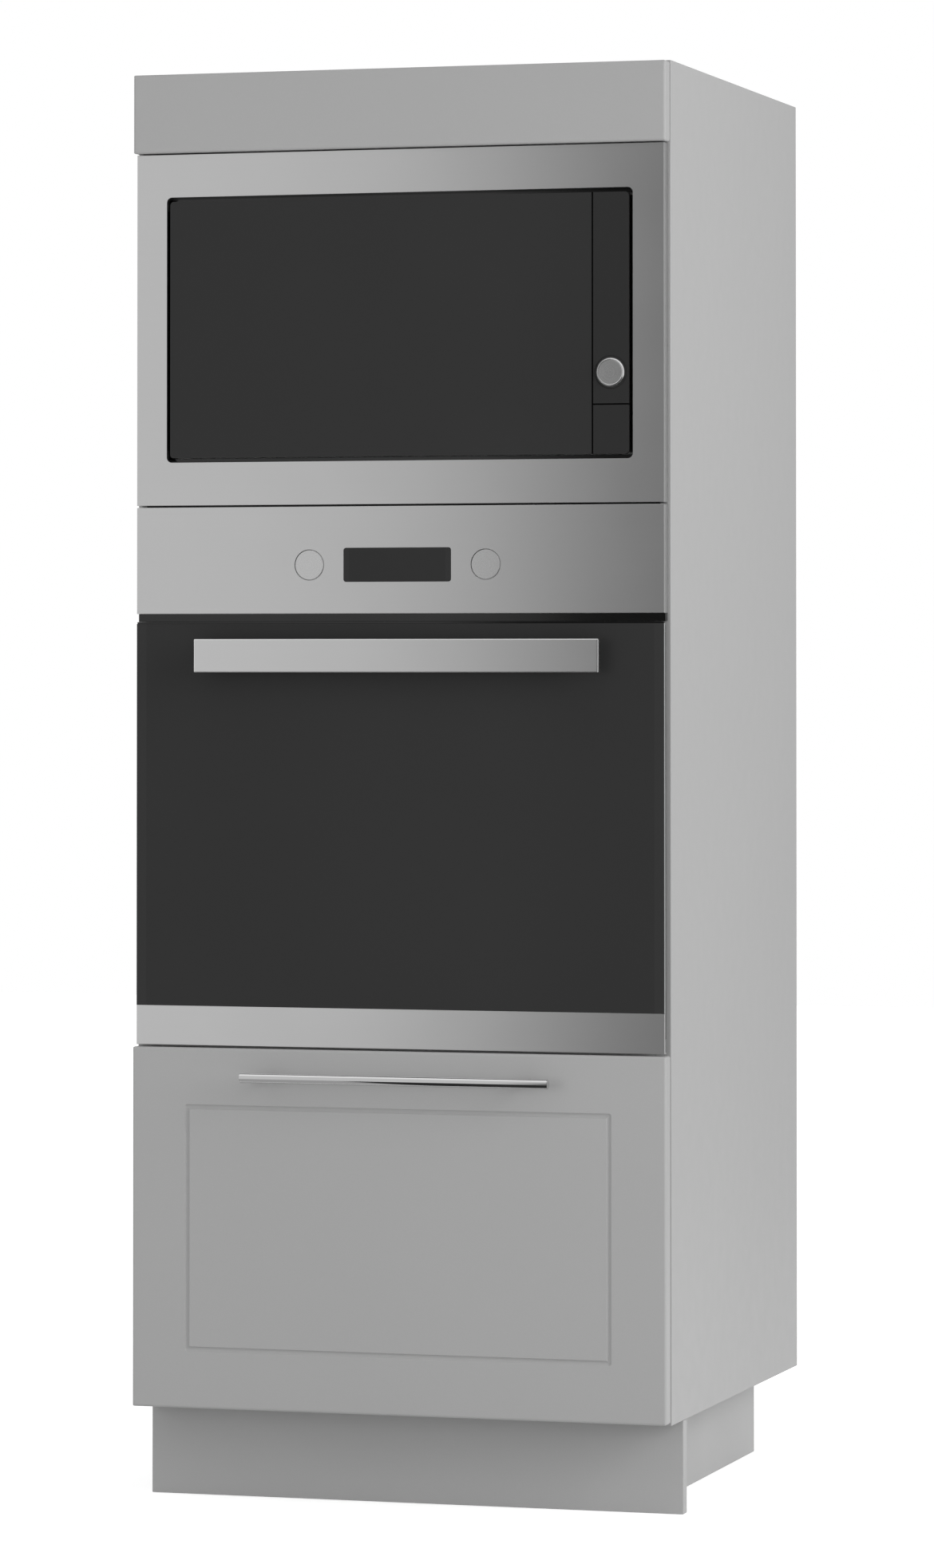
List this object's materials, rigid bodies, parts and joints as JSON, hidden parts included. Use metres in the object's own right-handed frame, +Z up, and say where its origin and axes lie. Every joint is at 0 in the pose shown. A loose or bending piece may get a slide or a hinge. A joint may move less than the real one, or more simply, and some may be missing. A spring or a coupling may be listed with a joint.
{
  "type": "tall oven housing unit",
  "caption": "Tall fitted kitchen cabinet with a framed microwave over a drop-down oven and a deep drawer with a bar handle, on a recessed plinth",
  "frame": {"origin": "bottom centre of the bounding box, on the floor", "axes": "+Z up and along the height; the fronts face -Y; +X to the viewer's right"},
  "size_m": [0.6, 0.6234, 1.55],
  "materials": {
    "front_lacquer": "satin grey lacquer over board",
    "carcass_board": "satin grey melamine over chipboard",
    "thin_board": "grey hardboard",
    "plinth_lacquer": "satin grey lacquer over board",
    "brushed_fascia": "fine brushed stainless steel",
    "black_glass": "black back-printed glass, glossy",
    "clear_glass": "clear heat-proof glass",
    "polished_chrome": "polished chrome",
    "zinc_steel": "bright zinc-coated sheet steel",
    "dark_enamel": "dark speckled vitreous enamel",
    "door_frame_paint": "black coated folded frame",
    "cavity_paint": "light grey powder coat",
    "element_sheath": "dark oxidised heater sheath",
    "black_plastic": "matt black plastic",
    "gasket_rubber": "black silicone rubber"
  },
  "bodies": {
    "cabinet": {"side_left": "carcass_board", "side_right": "carcass_board", "bottom_panel": "carcass_board", "oven_shelf": "carcass_board", "microwave_shelf": "carcass_board", "top_panel": "carcass_board", "back_panel": "thin_board", "wall_rail": "carcass_board", "top_filler": "front_lacquer", "filler_brackets": "zinc_steel", "plinth_front": "plinth_lacquer", "plinth_returns": "plinth_lacquer", "leg_sockets": "black_plastic", "runner_outer": "zinc_steel", "oven_casing": "zinc_steel", "oven_cavity": "dark_enamel", "door_gasket": "gasket_rubber", "control_panel": "brushed_fascia", "display_window": "black_glass", "rotary_switches": "black_plastic", "air_outlet_trim": "black_glass", "side_racks": "polished_chrome", "wire_shelf": "polished_chrome", "fan_cover": "dark_enamel", "grill_element": "element_sheath", "hinge_brackets": "zinc_steel", "fan_motor": "zinc_steel", "terminal_box": "black_plastic", "microwave_frame": "brushed_fascia", "microwave_casing": "zinc_steel", "microwave_cavity": "cavity_paint", "control_strip": "black_glass", "turntable_motor": "zinc_steel"},
    "foot_front_left": {"foot_front_left": "black_plastic"},
    "foot_front_right": {"foot_front_right": "black_plastic"},
    "foot_back_left": {"foot_back_left": "black_plastic"},
    "foot_back_right": {"foot_back_right": "black_plastic"},
    "runner_middle": {"runner_middle": "zinc_steel"},
    "drawer": {"drawer_front": "front_lacquer", "drawer_sides": "carcass_board", "drawer_back": "carcass_board", "drawer_base": "thin_board", "drawer_handle": "polished_chrome", "runner_inner": "zinc_steel"},
    "oven_door": {"door_glass": "black_glass", "door_inner_glass": "clear_glass", "door_frame": "door_frame_paint", "door_trim": "brushed_fascia", "oven_handle": "brushed_fascia"},
    "convection_fan": {"convection_fan": "zinc_steel"},
    "knob_shaft_left": {"knob_shaft_left": "zinc_steel"},
    "knob_shaft_right": {"knob_shaft_right": "zinc_steel"},
    "oven_knob_left": {"oven_knob_left": "brushed_fascia"},
    "oven_knob_right": {"oven_knob_right": "brushed_fascia"},
    "microwave_door": {"microwave_door_glass": "black_glass", "microwave_door_frame": "black_plastic"},
    "release_button": {"release_button": "black_glass"},
    "timer_knob": {"timer_knob": "brushed_fascia"},
    "turntable": {"turntable": "clear_glass"},
    "roller_ring": {"roller_ring": "black_plastic"}
  },
  "joints": [
    {"name": "foot_front_left_height", "type": "slide", "parent": "cabinet", "child": "foot_front_left", "axis": [0, 0, -1], "range_m": [0, 0.02]},
    {"name": "foot_front_right_height", "type": "slide", "parent": "cabinet", "child": "foot_front_right", "axis": [0, 0, -1], "range_m": [0, 0.02]},
    {"name": "foot_back_left_height", "type": "slide", "parent": "cabinet", "child": "foot_back_left", "axis": [0, 0, -1], "range_m": [0, 0.02]},
    {"name": "foot_back_right_height", "type": "slide", "parent": "cabinet", "child": "foot_back_right", "axis": [0, 0, -1], "range_m": [0, 0.02]},
    {"name": "drawer_slide", "type": "slide", "parent": "cabinet", "child": "drawer", "axis": [0, -1, 0], "range_m": [0, 0.45]},
    {"name": "runner_middle_slide", "type": "slide", "parent": "cabinet", "child": "runner_middle", "axis": [0, -1, 0], "range_m": [0, 0.225]},
    {"name": "oven_door_hinge", "type": "hinge", "parent": "cabinet", "child": "oven_door", "pos_m": [0, -0.26785, 0.5021], "axis": [1, 0, 0], "range_deg": [0, 90]},
    {"name": "convection_fan_spin", "type": "hinge", "parent": "cabinet", "child": "convection_fan", "pos_m": [0, 0.17, 0.7396], "axis": [0, 1, 0], "continuous": true},
    {"name": "left_knob_turn", "type": "hinge", "parent": "cabinet", "child": "knob_shaft_left", "pos_m": [-0.0992, -0.24, 1.014], "axis": [0, 1, 0], "continuous": true},
    {"name": "right_knob_turn", "type": "hinge", "parent": "cabinet", "child": "knob_shaft_right", "pos_m": [0.0992, -0.24, 1.014], "axis": [0, 1, 0], "range_deg": [0, 300]},
    {"name": "left_knob_pop", "type": "slide", "parent": "knob_shaft_left", "child": "oven_knob_left", "axis": [0, -1, 0], "range_m": [0, 0.016]},
    {"name": "right_knob_pop", "type": "slide", "parent": "knob_shaft_right", "child": "oven_knob_right", "axis": [0, -1, 0], "range_m": [0, 0.016]},
    {"name": "microwave_door_hinge", "type": "hinge", "parent": "cabinet", "child": "microwave_door", "pos_m": [-0.246, -0.26535, 1.2703], "axis": [0, 0, -1], "range_deg": [0, 100]},
    {"name": "release_button_press", "type": "slide", "parent": "cabinet", "child": "release_button", "axis": [0, 1, 0], "range_m": [0, 0.003], "stiffness_N_per_m": 400},
    {"name": "timer_knob_turn", "type": "hinge", "parent": "cabinet", "child": "timer_knob", "pos_m": [0.23815, -0.265, 1.2177], "axis": [0, 1, 0], "range_deg": [0, 300]},
    {"name": "turntable_spin", "type": "hinge", "parent": "cabinet", "child": "turntable", "pos_m": [-0.02, -0.07505, 1.18], "axis": [0, 0, 1], "continuous": true},
    {"name": "roller_ring_spin", "type": "hinge", "parent": "cabinet", "child": "roller_ring", "pos_m": [-0.02, -0.07505, 1.175], "axis": [0, 0, 1], "continuous": true}
  ],
  "couplings": [
    {"joint": "runner_middle_slide", "follows": "drawer_slide", "ratio": 0.5},
    {"joint": "roller_ring_spin", "follows": "turntable_spin", "ratio": 0.5}
  ]
}
